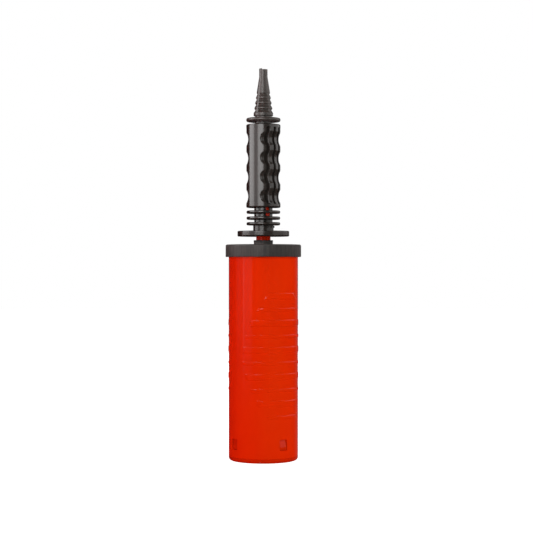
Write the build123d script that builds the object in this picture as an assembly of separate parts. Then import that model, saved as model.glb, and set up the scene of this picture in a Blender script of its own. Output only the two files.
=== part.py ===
from build123d import *

import math
import os

os.makedirs("parts", exist_ok=True)

# A double-action ball inflation pump. It stands on its base with the nozzle up and the handle pushed down.
# Millimetres, Z up, origin at the centre of the face that it stands on.
# A bearing is an angle in degrees about Z, counted from -Y towards +X.

# Barrel
barrel_radius = 26.5
barrel_wall = 1.6
barrel_bottom = 3.2
barrel_top = 161.7
bead_height = 158.8
bead_radius = 0.5

# Raised bars on the barrel: two groups, each trimmed by an ellipse seen along its bearing
bar_count = 10
bar_pitch = 10.1
bar_raise = 0.3
thick_bar = 4.3
thin_bar = 2.06
bars_middle = 80.15
bars_bearing = 35.0
bars_half_width = 25.0
bars_half_height = 52.8

# Windows in the barrel and the catches of the base plug that fill them
window_width = 6.4
window_bottom = 9.7
window_top = 17.6
window_count = 4
catch_gap = 0.3
catch_reach = 26.1
catch_lip = 2.0
catch_root = 1.0

# Base plug and its intake valve
foot_inner_radius = 22.5
foot_round = 2.5
plate_bottom = 18.0
plate_top = 22.0
stop_ring_outer = 22.2
stop_ring_inner = 20.0
notch_width = 6.0
notch_depth = 4.0
plug_groove_depth = 1.4
plug_groove_height = 2.0
intake_count = 6
base_intake_circle = 10.5
base_intake_radius = 2.0
valve_disc_radius = 16.0
valve_thickness = 1.0
valve_lift = 1.2
stud_radius = 1.5
stud_head_radius = 4.5
stud_head_height = 1.3
stud_head_chamfer = 1.0
stud_barb = 0.8
stud_barb_height = 1.3
stud_tip_radius = 1.0
stud_gap = 0.1

# Cap
cap_radius = 28.9
cap_bottom = 155.3
cap_top = 164.8
cap_plate = 2.1
cap_round = 1.2
skirt_gap = 0.2
collar_radius = 7.45
collar_waist = 7.3
collar_top = 168.1
collar_lip = 1.0
collar_round = 0.35
boss_outer = 8.6
boss_bore = 7.1
boss_bottom = 157.2
seal_seat = 162.0
cap_vent_circle = 13.5
cap_vent_radius = 1.6
valve_ring_inner = 9.0
valve_ring_outer = 18.5
valve_ring_bottom = 160.4

# Guide plate under the cap
guide_radius = 24.4
guide_thickness = 2.2
guide_hole_circle = 18.5
guide_hole_radius = 2.6
peg_circle = 13.5
peg_radius = 1.2

# Rod
rod_radius = 5.5
rod_bore = 3.0
rod_bottom = 27.3
rod_top = 201.0
rod_clearance = 0.2
end_plug_height = 4.7
end_plug_rim = 5.0
end_plug_rim_height = 0.8
port_radius = 1.5
port_cut = 8.0
port_count = 4
seal_clearance = 0.08
press_clearance = 0.05
seal_groove_half = 0.15
seal_lip_half = 0.3
seal_groove_height = 2.2
seal_chamfer = 0.6

# Piston
disc_radius = 24.5
disc_thickness = 2.5
lower_disc_bottom = 29.5
ring_travel = 1.4
ring_thickness = 2.9
ring_inner = 21.0
ring_round = 1.2
hub_radius = 8.5
hub_top = 44.0
edge_notches = 10
edge_notch_radius = 2.0
clip_radius = 7.5
clip_thickness = 1.1
clip_groove_radius = 4.4
rest_gap = 0.05
clip_mouth = 7.0

# Handle
flange_radius = 19.8
flange_bottom = 171.0
flange_top = 175.2
flange_round = 0.7
lower_neck_radius = 7.8
neck_radius = 7.0
lower_neck_top = 180.7
fin_radius = 12.85
fin_thickness = 2.3
fin_round = 0.8
fin_heights = (180.7, 185.0, 189.6)
tongue_bearing = 29.0
tongue_window_width = 3.5
tongue_window_bottom = 186.5
tongue_side_gap = 0.3
tongue_root = 1.0
tongue_straight = 1.6
tongue_slope_end = 3.7
pip_radius = 0.85
pip_height = 178.3
pip_bearings = (26.5, 51.0, 88.0)

# Grip: four finger valleys on each of two sides, cored by slots that run in from the same sides
grip_bottom = 193.0
grip_top = 256.7
grip_radius = 13.1
grip_round = 0.9
valley_radius = 11.62
valley_half_height = 5.4
valley_pitch = 14.57
valley_count = 4
first_valley = 201.5
cheek_half_width = 4.74
grip_bearing = 54.0
slot_pitch = 5.24
slot_width = 2.4
slot_margin = 2.4
slots_per_side = 4
core_radius = 7.2
web_half_thickness = 1.5

# Nozzle
nozzle_disc_radius = 13.1
nozzle_disc_bottom = 258.8
nozzle_disc_top = 261.6
nozzle_disc_round = 1.1
nozzle_neck_radius = 6.15
barb_count = 5
barb_pitch = 4.03
first_lip_height = 265.0
first_lip_bottom = 263.2
first_lip_radius = 7.45
lip_taper = 0.6
lip_thickness = 0.9
barb_undercut = 1.42
undercut_taper = 0.13
root_rise = 2.75
web_bearings = (-45, 45)
web_width = 2.3
web_sink = 0.2
tip_radius = 3.2
tip_straight_bottom = 293.2
tip_top = 299.6
tip_notch_depth = 0.7
tip_notch_start = -1.0
nozzle_bore = 2.0
spigot_radius = 4.65
spigot_bottom = 245.0
socket_radius = 4.7
socket_bottom = 244.0

# O-rings
o_ring_height = 1.8
o_ring_round = 0.6
rod_o_ring_height = 197.0
nozzle_o_ring_height = 250.0
o_ring_depth = 1.2
o_ring_side_gap = 0.1

bore_radius = barrel_radius - barrel_wall
skirt_radius = bore_radius - 0.1
upper_disc_bottom = lower_disc_bottom + disc_thickness + ring_thickness + ring_travel + 2 * rest_gap
port_height = lower_disc_bottom + disc_thickness + (ring_thickness + ring_travel) / 2
fit_bore = rod_radius + press_clearance


def disc(radius, bottom, top):
    """A solid cylinder about Z between two heights."""
    return Pos(0, 0, (bottom + top) / 2) * Cylinder(radius, top - bottom)


def tube(outer, inner, bottom, top):
    """A straight tube about Z between two heights."""
    return disc(outer, bottom, top) - disc(inner, bottom, top)


def turned(points):
    """The solid that an outline of (radius, height) points makes when it turns about Z."""
    outline = Plane.XZ * Polyline(*points, close=True)
    return revolve(make_face(outline), Axis.Z)


def facing(bearing, radius=0.0, height=0.0):
    """A place on a circle about Z, turned so that its own -Y points outwards."""
    return Rot(0, 0, bearing) * Pos(0, -radius, height)


def around(count, first=0.0):
    """Evenly spaced bearings."""
    return [first + 360.0 * i / count for i in range(count)]


def outermost(edges, height):
    """The widest circular edge at one height."""
    level = edges.filter_by(GeomType.CIRCLE).filter_by_position(Axis.Z, height - 0.01, height + 0.01)
    return level.sort_by(SortBy.RADIUS)[-1]


def rounded_disc(radius, bottom, top, round_radius):
    """A disc with both rims rounded."""
    plain = disc(radius, bottom, top)
    return fillet([outermost(plain.edges(), bottom), outermost(plain.edges(), top)], round_radius)


def o_ring(outer, inner, middle):
    """A seated O-ring, squashed to a rounded square section."""
    half = o_ring_height / 2
    plain = tube(outer, inner, middle - half, middle + half)
    return fillet(plain.edges().filter_by(GeomType.CIRCLE), o_ring_round * (outer - inner) / 1.5)


def make_barrel():
    shell = tube(barrel_radius, bore_radius, barrel_bottom, barrel_top)
    shell += Pos(0, 0, bead_height) * Torus(barrel_radius, bead_radius)
    outline = extrude(Ellipse(bars_half_width, bars_half_height), 2 * barrel_radius, both=True)
    patch = Rot(0, 0, bars_bearing) * Pos(0, 0, bars_middle) * (Plane.XZ * outline)
    highest = bars_middle + bar_pitch * (bar_count - 1) / 2
    for i in range(bar_count):
        half = (thin_bar if i % 2 else thick_bar) / 2
        middle = highest - i * bar_pitch
        band = tube(barrel_radius + bar_raise, barrel_radius - bar_raise, middle - half, middle + half)
        shell += band & patch
    opening = Box(window_width, 4 * barrel_wall, window_top - window_bottom)
    for bearing in around(window_count, bars_bearing):
        shell -= facing(bearing, barrel_radius, (window_top + window_bottom) / 2) * opening
    return shell


def make_base_plug():
    foot = tube(barrel_radius, foot_inner_radius, 0, barrel_bottom)
    foot = fillet(outermost(foot.edges(), 0), foot_round)
    body = foot + tube(skirt_radius, foot_inner_radius, barrel_bottom, plate_bottom)
    body += disc(skirt_radius, plate_bottom, plate_top)
    stop_ring_top = lower_disc_bottom - 0.1
    body += tube(stop_ring_outer, stop_ring_inner, plate_top, stop_ring_top)
    groove_middle = (plate_bottom + plate_top) / 2
    half = plug_groove_height / 2
    body -= tube(
        skirt_radius + 1, skirt_radius - plug_groove_depth, groove_middle - half, groove_middle + half
    )
    body -= disc(stud_radius + stud_gap, plate_bottom, plate_top)
    for bearing in around(intake_count):
        body -= facing(bearing, base_intake_circle) * disc(base_intake_radius, plate_bottom, plate_top)
    notch = Box(notch_width, 4 * barrel_wall, notch_depth)
    for bearing in around(window_count, bars_bearing + 45):
        body -= facing(bearing, stop_ring_inner, stop_ring_top - notch_depth / 2 + 0.1) * notch
    low = window_bottom + catch_gap
    high = window_top - catch_gap
    wedge = Polyline(
        (skirt_radius - catch_root, low),
        (catch_reach, low),
        (catch_reach, low + catch_lip),
        (bore_radius, high),
        (skirt_radius - catch_root, high),
        close=True,
    )
    catch = extrude(make_face(Plane.XZ * wedge), window_width / 2 - catch_gap, both=True)
    for bearing in around(window_count, bars_bearing - 90):
        body += Rot(0, 0, bearing) * catch
    return body


def make_base_plug_seal():
    middle = (plate_bottom + plate_top) / 2
    return o_ring(bore_radius, skirt_radius - plug_groove_depth, middle)


def make_base_valve_disc():
    seat = plate_top + rest_gap
    return tube(valve_disc_radius, stud_radius + 0.3, seat, seat + valve_thickness)


def make_base_valve_stud():
    head_bottom = plate_top + valve_thickness + valve_lift + stud_gap + rest_gap
    barb_top = plate_bottom - stud_gap
    return turned(
        [
            (0, barb_top - stud_barb_height),
            (stud_tip_radius, barb_top - stud_barb_height),
            (stud_radius + stud_barb, barb_top),
            (stud_radius, barb_top),
            (stud_radius, head_bottom),
            (stud_head_radius, head_bottom),
            (stud_head_radius - stud_head_chamfer, head_bottom + stud_head_height),
            (0, head_bottom + stud_head_height),
        ]
    )


def make_cap():
    body = disc(cap_radius, cap_bottom, cap_top)
    body = fillet(outermost(body.edges(), cap_top), cap_round)
    under = cap_top - cap_plate
    body -= disc(barrel_radius + skirt_gap, cap_bottom, under)
    body -= Pos(0, 0, bead_height) * Torus(barrel_radius + skirt_gap, bead_radius)
    body += disc(boss_outer, boss_bottom, under)
    body += disc(collar_waist, cap_top, collar_top)
    body += rounded_disc(collar_radius, collar_top - collar_lip, collar_top, collar_round)
    body -= disc(boss_bore, boss_bottom, seal_seat)
    body -= disc(rod_radius + rod_clearance, seal_seat, collar_top)
    for bearing in around(intake_count):
        body -= facing(bearing, cap_vent_circle) * disc(cap_vent_radius, under, cap_top)
    return body


def make_cap_gasket():
    return tube(barrel_radius, bore_radius + 0.2, barrel_top, cap_top - cap_plate)


def make_cap_valve_ring():
    return tube(valve_ring_outer, valve_ring_inner, valve_ring_bottom, valve_ring_bottom + valve_thickness)


def make_guide_plate():
    body = tube(guide_radius, rod_radius + rod_clearance, boss_bottom - guide_thickness, boss_bottom)
    for bearing in around(intake_count):
        hole = disc(guide_hole_radius, boss_bottom - guide_thickness, boss_bottom)
        body -= facing(bearing, guide_hole_circle) * hole
        peg = disc(peg_radius, boss_bottom, valve_ring_bottom - rest_gap)
        body += facing(bearing + 30, peg_circle) * peg
    return body


def make_rod_seal():
    inner = rod_radius + seal_clearance
    outer = boss_bore - seal_clearance
    bottom = boss_bottom + seal_clearance
    top = seal_seat - seal_clearance
    middle = (inner + outer) / 2
    return turned(
        [
            (inner, bottom),
            (middle - seal_lip_half, bottom),
            (middle - seal_groove_half, bottom + seal_groove_height),
            (middle + seal_groove_half, bottom + seal_groove_height),
            (middle + seal_lip_half, bottom),
            (outer, bottom),
            (outer, top),
            (inner + seal_lip_half, top),
            (inner, top - seal_chamfer),
        ]
    )


def side_port():
    """The cutter of an air port through the rod's wall, along its own Y."""
    return Rot(90, 0, 0) * Cylinder(port_radius, port_cut)


def make_rod():
    body = tube(rod_radius, rod_bore, rod_bottom, rod_top)
    clip_middle = lower_disc_bottom - clip_thickness / 2 - rest_gap
    groove_half = clip_thickness / 2 + rest_gap
    body -= tube(rod_radius + 1, clip_groove_radius, clip_middle - groove_half, clip_middle + groove_half)
    half = o_ring_height / 2 + o_ring_side_gap
    groove_floor = fit_bore - o_ring_depth
    body -= tube(rod_radius + 1, groove_floor, rod_o_ring_height - half, rod_o_ring_height + half)
    for bearing in around(port_count, 45):
        body -= facing(bearing, rod_radius, port_height) * side_port()
    low = tongue_window_bottom + tongue_side_gap
    root = rod_radius - tongue_root
    outline = Polyline(
        (root, low),
        (neck_radius - 0.1, low),
        (neck_radius - 0.1, low + tongue_straight),
        (rod_radius - 0.1, low + tongue_slope_end),
        (root, low + tongue_slope_end),
        close=True,
    )
    half_width = tongue_window_width / 2 - tongue_side_gap
    tongue = extrude(make_face(Plane.XZ * outline), half_width, both=True)
    return body + Rot(0, 0, tongue_bearing - 90) * tongue


def make_rod_end_plug():
    plug = disc(rod_bore - press_clearance, rod_bottom, rod_bottom + end_plug_height)
    return plug + disc(end_plug_rim, rod_bottom - end_plug_rim_height, rod_bottom)


def make_rod_o_ring():
    return o_ring(fit_bore, fit_bore - o_ring_depth, rod_o_ring_height)


def edge_notched(body, bottom, top):
    """Cuts the air notches round a piston disc's rim."""
    for bearing in around(edge_notches):
        body -= facing(bearing, disc_radius) * disc(edge_notch_radius, bottom, top)
    return body


def make_piston_lower_disc():
    top = lower_disc_bottom + disc_thickness
    return edge_notched(tube(disc_radius, fit_bore, lower_disc_bottom, top), lower_disc_bottom, top)


def make_piston_upper_disc():
    top = upper_disc_bottom + disc_thickness
    body = edge_notched(disc(disc_radius, upper_disc_bottom, top), upper_disc_bottom, top)
    body += disc(hub_radius, lower_disc_bottom + disc_thickness, hub_top)
    body -= disc(fit_bore, lower_disc_bottom, hub_top)
    for bearing in around(port_count, 45):
        body -= facing(bearing, hub_radius, port_height) * side_port()
    return body


def make_piston_ring():
    bottom = lower_disc_bottom + disc_thickness + rest_gap
    plain = tube(bore_radius - 0.1, ring_inner, bottom, bottom + ring_thickness)
    rims = [outermost(plain.edges(), bottom), outermost(plain.edges(), bottom + ring_thickness)]
    return fillet(rims, ring_round)


def make_piston_clip():
    top = lower_disc_bottom - rest_gap
    ring = tube(clip_radius, clip_groove_radius + 0.1, top - clip_thickness, top)
    mouth = Box(clip_mouth, 2 * clip_radius, 2 * clip_thickness)
    return ring - facing(0, clip_radius, top - clip_thickness / 2) * mouth


def make_valley():
    """The ring that a finger valley sweeps, cut down to two scoops with round ends."""
    depth = grip_radius - valley_radius
    sweep = (valley_half_height**2 + depth**2) / (2 * depth)
    outside = grip_radius + 2
    half = math.sqrt(sweep**2 - (valley_radius + sweep - outside) ** 2)
    section = ThreePointArc((outside, -half), (valley_radius, 0), (outside, half))
    section += Line((outside, half), (outside, -half))
    ring = revolve(make_face(Plane.XZ * section), Axis.Z)
    end = Rot(0, 90, 0) * Cylinder(valley_half_height - 0.1, 4 * grip_radius)
    reach = cheek_half_width + valley_half_height
    return [ring & (Pos(0, side * reach, 0) * end) for side in (1, -1)]


def make_grip():
    """A cylinder with finger valleys scooped from two sides, slots that core it, and the rod's end inside."""
    body = disc(grip_radius, grip_bottom, grip_top)
    body = fillet([outermost(body.edges(), grip_bottom), outermost(body.edges(), grip_top)], grip_round)
    for i in range(valley_count):
        for scoop in make_valley():
            body -= Pos(0, 0, first_valley + i * valley_pitch) * scoop
    length = grip_top - grip_bottom - 2 * slot_margin
    slot = extrude(Rot(0, 0, 90) * SlotOverall(length, slot_width), grip_radius)
    middle = (grip_top + grip_bottom) / 2
    for side in (0, 180):
        for i in range(slots_per_side):
            across = (i - (slots_per_side - 1) / 2) * slot_pitch
            cut = Pos(across, -web_half_thickness, middle) * (Plane.XZ * slot)
            cut -= disc(core_radius, grip_bottom, grip_top)
            body -= Rot(0, 0, side) * cut
    body -= disc(fit_bore, grip_bottom, rod_top + rest_gap)
    body -= disc(rod_bore, rod_top, socket_bottom)
    body -= disc(socket_radius, socket_bottom, grip_top)
    return Rot(0, 0, grip_bearing) * body


def make_handle():
    """The flange, neck and fins that slide down over the end of the rod."""
    body = rounded_disc(flange_radius, flange_bottom, flange_top, flange_round)
    body += disc(lower_neck_radius, flange_top, lower_neck_top)
    body += disc(neck_radius, lower_neck_top, grip_bottom)
    for height in fin_heights:
        body += rounded_disc(fin_radius, height - fin_thickness / 2, height + fin_thickness / 2, fin_round)
    for bearing in pip_bearings:
        body += facing(bearing, lower_neck_radius, pip_height) * Sphere(pip_radius)
    body -= disc(fit_bore, flange_bottom, grip_bottom)
    window_height = grip_bottom - tongue_window_bottom
    opening = Box(tongue_window_width, 2 * neck_radius, window_height)
    opening = facing(tongue_bearing, neck_radius, grip_bottom - window_height / 2) * opening
    return body - (opening & disc(neck_radius + 0.2, tongue_window_bottom, grip_bottom))


def barb_webs():
    """Upright webs between the barbs, a little below their rims, that leave windows to the front and sides."""
    low_radius = first_lip_radius - web_sink
    high_radius = low_radius - lip_taper * (barb_count - 1)
    height = barb_pitch * (barb_count - 1)
    top = first_lip_height + height
    cone = turned([(0, first_lip_height), (low_radius, first_lip_height), (high_radius, top), (0, top)])
    plate = Box(web_width, 4 * first_lip_radius, height)
    middle = Pos(0, 0, first_lip_height + height / 2)
    webs = [middle * Rot(0, 0, bearing) * plate & cone for bearing in web_bearings]
    return webs[0] + webs[1]


def make_nozzle():
    outline = [(0, grip_top), (nozzle_neck_radius, grip_top), (nozzle_neck_radius, first_lip_bottom)]
    for i in range(barb_count):
        lip_radius = first_lip_radius - lip_taper * i
        lip_height = first_lip_height + barb_pitch * i
        lip_bottom = lip_height - lip_thickness / 2 if i else first_lip_bottom
        outline.append((lip_radius, lip_bottom))
        outline.append((lip_radius, lip_height + lip_thickness / 2))
        if i < barb_count - 1:
            root_radius = lip_radius - barb_undercut + undercut_taper * i
            outline.append((root_radius, lip_height + root_rise))
    outline.append((tip_radius, tip_straight_bottom))
    outline.append((tip_radius, tip_top))
    outline.append((0, tip_top))
    body = turned(outline) + barb_webs()
    body += rounded_disc(nozzle_disc_radius, nozzle_disc_bottom, nozzle_disc_top, nozzle_disc_round)
    body += disc(spigot_radius, spigot_bottom, grip_top)
    half = o_ring_height / 2 + o_ring_side_gap
    groove_floor = socket_radius - o_ring_depth
    middle = nozzle_o_ring_height
    body -= tube(spigot_radius + 1, groove_floor, middle - half, middle + half)
    body -= disc(nozzle_bore, spigot_bottom, tip_top)
    step = Box(2 * tip_radius, 4 * tip_radius, tip_notch_depth)
    return body - Pos(tip_notch_start + tip_radius, 0, tip_top - tip_notch_depth / 2) * step


def make_nozzle_o_ring():
    return o_ring(socket_radius, socket_radius - o_ring_depth, nozzle_o_ring_height)


parts = {
    "barrel": make_barrel(),
    "base_plug": make_base_plug(),
    "base_plug_seal": make_base_plug_seal(),
    "base_valve_disc": make_base_valve_disc(),
    "base_valve_stud": make_base_valve_stud(),
    "cap": make_cap(),
    "cap_gasket": make_cap_gasket(),
    "cap_valve_ring": make_cap_valve_ring(),
    "guide_plate": make_guide_plate(),
    "rod_seal": make_rod_seal(),
    "rod": make_rod(),
    "rod_end_plug": make_rod_end_plug(),
    "rod_o_ring": make_rod_o_ring(),
    "piston_upper_disc": make_piston_upper_disc(),
    "piston_lower_disc": make_piston_lower_disc(),
    "piston_ring": make_piston_ring(),
    "piston_clip": make_piston_clip(),
    "handle": make_handle(),
    "grip": make_grip(),
    "nozzle": make_nozzle(),
    "nozzle_o_ring": make_nozzle_o_ring(),
}

for name, shape in parts.items():
    export_step(shape, f"parts/{name}.step")
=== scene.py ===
import math

import bmesh
import bpy
from mathutils import Matrix, Vector


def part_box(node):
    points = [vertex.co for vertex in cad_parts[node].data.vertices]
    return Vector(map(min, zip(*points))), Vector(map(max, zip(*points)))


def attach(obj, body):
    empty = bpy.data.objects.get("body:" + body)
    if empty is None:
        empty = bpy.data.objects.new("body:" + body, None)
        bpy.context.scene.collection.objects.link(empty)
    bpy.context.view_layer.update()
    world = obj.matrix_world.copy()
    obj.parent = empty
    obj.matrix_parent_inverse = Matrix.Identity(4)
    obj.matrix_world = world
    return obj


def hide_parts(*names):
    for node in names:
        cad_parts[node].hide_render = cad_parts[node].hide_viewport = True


# Ball inflation pump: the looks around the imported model. Blender works in metres; the sizes below are in
# millimetres and pass through mm. A bearing is an angle in degrees counted from -Y towards +X.
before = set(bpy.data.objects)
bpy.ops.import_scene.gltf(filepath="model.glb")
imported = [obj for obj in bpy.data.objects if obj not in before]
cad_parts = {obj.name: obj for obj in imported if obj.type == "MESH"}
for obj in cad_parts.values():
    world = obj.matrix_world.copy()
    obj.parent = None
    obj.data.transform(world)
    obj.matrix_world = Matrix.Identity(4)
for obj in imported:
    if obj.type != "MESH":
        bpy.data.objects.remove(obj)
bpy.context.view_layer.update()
mm = 0.001
print("frame loaded:", len(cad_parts), "nodes")

# ---- small tools for meshes


def boxOf(node):
    low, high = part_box(node)
    return low / mm, high / mm


def roundCorners(corners):
    # corners of a closed outline as (radius, height, rounding); each rounding gets an arc and a holding
    # point on either side, and never takes more than its share of the edges beside it
    steps = 4
    hold = 0.2
    mostCut = 0.45
    mostHold = 0.3
    points = []
    for i, (radius, height, rounding) in enumerate(corners):
        here = Vector((radius, height))
        back = Vector(corners[i - 1][:2]) - here
        ahead = Vector(corners[(i + 1) % len(corners)][:2]) - here
        if rounding <= 0:
            points.append(here)
            continue
        half = back.angle(ahead) / 2
        cut = min(rounding / math.tan(half), mostCut * back.length, mostCut * ahead.length)
        spareBack = min(hold, mostHold * (back.length - cut))
        spareAhead = min(hold, mostHold * (ahead.length - cut))
        back.normalize()
        ahead.normalize()
        centre = here + (back + ahead).normalized() * cut / math.cos(half)
        first = back * cut + here - centre
        sweep = (ahead * cut + here - centre).angle_signed(first)
        points.append(here + back * (cut + spareBack))
        for k in range(steps + 1):
            turn = sweep * k / steps
            points.append(centre + Matrix.Rotation(turn, 2) @ first)
        points.append(here + ahead * (cut + spareAhead))
    return points


def meshRows(rows, holes=None):
    # a closed sheet of quads from rows of points; the rows join end to end, and so do the points of each
    # row; holes says which quads to leave out
    count = len(rows[0])
    points = [p for row in rows for p in row]
    faces = []
    for i in range(len(rows)):
        for j in range(count):
            if holes and holes(i, j):
                continue
            a = i * count + j
            b = i * count + (j + 1) % count
            c = (i + 1) % len(rows) * count + (j + 1) % count
            d = (i + 1) % len(rows) * count + j
            faces.append((a, b, c, d))
    return points, faces


def addPiece(name, points, faces):
    # a smooth-shaded object from points in millimetres; points that meet are merged, faces turned outwards
    weldDistance = 0.5e-6
    mesh = bpy.data.meshes.new(name)
    mesh.from_pydata([Vector(p) * mm for p in points], [], faces)
    work = bmesh.new()
    work.from_mesh(mesh)
    bmesh.ops.remove_doubles(work, verts=work.verts, dist=weldDistance)
    bmesh.ops.delete(work, geom=[v for v in work.verts if not v.link_faces], context="VERTS")
    bmesh.ops.recalc_face_normals(work, faces=work.faces)
    for face in work.faces:
        face.smooth = True
    work.to_mesh(mesh)
    work.free()
    piece = bpy.data.objects.new(name, mesh)
    bpy.context.scene.collection.objects.link(piece)
    return piece


def circleRow(radius, height, count):
    turn = [2 * math.pi * j / count for j in range(count)]
    return [(radius * math.sin(a), -radius * math.cos(a), height) for a in turn]


def boxCutter(size, centre, bearing=0):
    # a box for cutting; its centre is given for bearing 0 and swings round Z with it
    points = []
    for sx in (-0.5, 0.5):
        for sy in (-0.5, 0.5):
            for sz in (-0.5, 0.5):
                corner = Vector((sx * size[0], sy * size[1], sz * size[2])) + Vector(centre)
                points.append(Matrix.Rotation(math.radians(bearing), 3, "Z") @ corner)
    faces = [(0, 1, 3, 2), (4, 6, 7, 5), (0, 4, 5, 1), (2, 3, 7, 6), (0, 2, 6, 4), (1, 5, 7, 3)]
    return addPiece("boxCutter", points, faces)


def roundCutter(radius, low, high, at):
    # an upright round bar for cutting, with its axis through the point at
    count = 40
    bottom = [(x + at[0], y + at[1], z) for x, y, z in circleRow(radius, low, count)]
    top = [(x, y, high) for x, y, z in bottom]
    faces = [(j, (j + 1) % count, count + (j + 1) % count, count + j) for j in range(count)]
    faces += [tuple(range(count)), tuple(range(count, 2 * count))]
    return addPiece("roundCutter", bottom + top, faces)


def settle(piece):
    # turns what the modifiers give into the piece's own plain mesh, with its steep edges kept sharp
    graph = bpy.context.evaluated_depsgraph_get()
    result = bpy.data.meshes.new_from_object(piece.evaluated_get(graph))
    piece.modifiers.clear()
    old = piece.data
    piece.data = result
    result.name = piece.name
    result.set_sharp_from_angle(angle=math.radians(50))
    bpy.data.meshes.remove(old)


def cutAway(piece, cutters):
    for cutter in cutters:
        step = piece.modifiers.new("cut", "BOOLEAN")
        step.operation = "DIFFERENCE"
        step.solver = "EXACT"
        step.object = cutter
    settle(piece)
    for cutter in cutters:
        bpy.data.objects.remove(cutter)


def joinPieces(name, pieces):
    work = bmesh.new()
    for piece in pieces:
        work.from_mesh(piece.data)
    mesh = bpy.data.meshes.new(name)
    work.to_mesh(mesh)
    work.free()
    for piece in pieces:
        bpy.data.objects.remove(piece)
    joined = bpy.data.objects.new(name, mesh)
    bpy.context.scene.collection.objects.link(joined)
    return joined


# ---- small tools for node trees


def openTree(name, kind, inputs, outputs):
    tree = bpy.data.node_groups.new(name, kind)
    for label, socketKind, value in inputs:
        socket = tree.interface.new_socket(label, in_out="INPUT", socket_type=socketKind)
        if value is not None:
            socket.default_value = value
    for label, socketKind in outputs:
        tree.interface.new_socket(label, in_out="OUTPUT", socket_type=socketKind)
    return tree, tree.nodes.new("NodeGroupInput"), tree.nodes.new("NodeGroupOutput")


def plug(tree, socket, value):
    if isinstance(value, bpy.types.NodeSocket):
        tree.links.new(value, socket)
    elif value is not None:
        socket.default_value = value


def calc(tree, operation, a, b=None, c=None, clamp=False):
    node = tree.nodes.new("ShaderNodeMath")
    node.operation = operation
    node.use_clamp = clamp
    for socket, value in zip(node.inputs, (a, b, c)):
        plug(tree, socket, value)
    return node.outputs[0]


def ramp(tree, value, low, high, smooth=True):
    node = tree.nodes.new("ShaderNodeMapRange")
    node.interpolation_type = "SMOOTHSTEP" if smooth else "LINEAR"
    plug(tree, node.inputs["Value"], value)
    plug(tree, node.inputs["From Min"], low)
    plug(tree, node.inputs["From Max"], high)
    return node.outputs["Result"]


def runTree(piece, tree, values):
    step = piece.modifiers.new("nodes", "NODES")
    step.node_group = tree
    for item in tree.interface.items_tree:
        if item.in_out == "INPUT" and item.name in values:
            step[item.identifier] = values[item.name]
    settle(piece)


def radialShift(tree, source, amount):
    # moves every point away from the Z axis by amount
    position = tree.nodes.new("GeometryNodeInputPosition")
    flat = tree.nodes.new("ShaderNodeVectorMath")
    flat.operation = "MULTIPLY"
    tree.links.new(position.outputs[0], flat.inputs[0])
    flat.inputs[1].default_value = (1, 1, 0)
    outward = tree.nodes.new("ShaderNodeVectorMath")
    outward.operation = "NORMALIZE"
    tree.links.new(flat.outputs[0], outward.inputs[0])
    shift = tree.nodes.new("ShaderNodeVectorMath")
    shift.operation = "SCALE"
    tree.links.new(outward.outputs[0], shift.inputs[0])
    tree.links.new(amount, shift.inputs["Scale"])
    move = tree.nodes.new("GeometryNodeSetPosition")
    tree.links.new(source, move.inputs["Geometry"])
    tree.links.new(shift.outputs[0], move.inputs["Offset"])
    return move.outputs["Geometry"]


def pointParts(tree):
    position = tree.nodes.new("GeometryNodeInputPosition")
    split = tree.nodes.new("ShaderNodeSeparateXYZ")
    tree.links.new(position.outputs[0], split.inputs[0])
    return split.outputs


def axisDistance(tree, x, y):
    return calc(tree, "SQRT", calc(tree, "MULTIPLY_ADD", x, x, calc(tree, "MULTIPLY", y, y)))


def acrossBearing(tree, x, y, bearing):
    # how far a point lies to the side of the upright plane at a bearing
    along = calc(tree, "MULTIPLY", x, calc(tree, "COSINE", bearing))
    return calc(tree, "MULTIPLY_ADD", y, calc(tree, "SINE", bearing), along)


def finishTree(tree, source, given, taken):
    # every tree ends by realizing its instances and setting the material
    real = tree.nodes.new("GeometryNodeRealizeInstances")
    tree.links.new(source, real.inputs[0])
    paint = tree.nodes.new("GeometryNodeSetMaterial")
    tree.links.new(real.outputs[0], paint.inputs["Geometry"])
    tree.links.new(given.outputs["Material"], paint.inputs["Material"])
    tree.links.new(paint.outputs[0], taken.inputs["Geometry"])


geometry = "NodeSocketGeometry"
number = "NodeSocketFloat"
whole = "NodeSocketInt"
materialSocket = "NodeSocketMaterial"
direction = "NodeSocketVector"

# ---- materials


def srgb(red, green, blue):
    def linear(value):
        value /= 255
        return value / 12.92 if value <= 0.04045 else ((value + 0.055) / 1.055) ** 2.4

    return (linear(red), linear(green), linear(blue), 1.0)


def noise(tree, vector, scale, detail=3.0, roughness=0.55):
    node = tree.nodes.new("ShaderNodeTexNoise")
    plug(tree, node.inputs["Vector"], vector)
    plug(tree, node.inputs["Scale"], scale)
    node.inputs["Detail"].default_value = detail
    node.inputs["Roughness"].default_value = roughness
    return node.outputs["Fac"]


def stretched(tree, vector, scale):
    node = tree.nodes.new("ShaderNodeVectorMath")
    node.operation = "MULTIPLY"
    tree.links.new(vector, node.inputs[0])
    node.inputs[1].default_value = scale
    return node.outputs[0]


def mixColour(tree, factor, a, b):
    node = tree.nodes.new("ShaderNodeMix")
    node.data_type = "RGBA"
    plug(tree, node.inputs["Factor"], factor)
    plug(tree, node.inputs["A"], a)
    plug(tree, node.inputs["B"], b)
    return node.outputs["Result"]


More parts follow.
